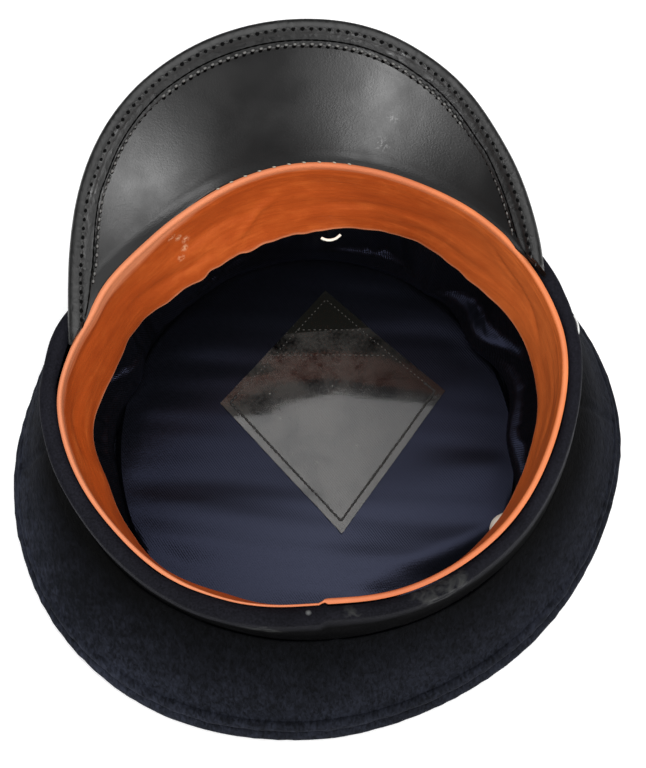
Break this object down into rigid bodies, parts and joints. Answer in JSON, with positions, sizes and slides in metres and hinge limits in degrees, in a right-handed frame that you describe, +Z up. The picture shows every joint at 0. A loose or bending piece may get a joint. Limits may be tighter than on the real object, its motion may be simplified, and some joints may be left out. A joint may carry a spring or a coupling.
{
  "type": "peaked cap",
  "caption": "Wool peaked cap lying on its crown, with a leather peak, leather sweatband, satin lining and side buttons.",
  "frame": {"origin": "in the middle of the crown's flat outer face, on the surface that the upturned cap rests on", "axes": "+Z up, out of the head opening; +Y towards the peak; +X to the right as seen from behind the upturned cap"},
  "size_m": [0.2547, 0.2473, 0.1446],
  "materials": {
    "navy_wool": "brushed wool",
    "band_cloth": "smooth cloth, worn at the fold",
    "tan_leather": "smooth, creased",
    "navy_satin": "satin twill",
    "black_leather": "satin",
    "black_tape": "woven tape",
    "clear_sheet": "clear, aged",
    "silver": "matt silver",
    "white_card": "matt"
  },
  "bodies": {
    "root": {"crown_top": "navy_wool", "crown_piping": "navy_wool", "crown_side": "navy_wool", "cap_band": "band_cloth", "sweatband": "tan_leather", "crown_lining": "navy_satin", "side_lining": "navy_satin", "sweat_shield": "clear_sheet", "shield_border": "black_tape", "peak": "black_leather", "peak_binding": "black_leather", "side_button_left": "silver", "side_button_right": "silver", "paper_slip": "white_card", "tape_loop": "white_card"}
  },
  "joints": []
}
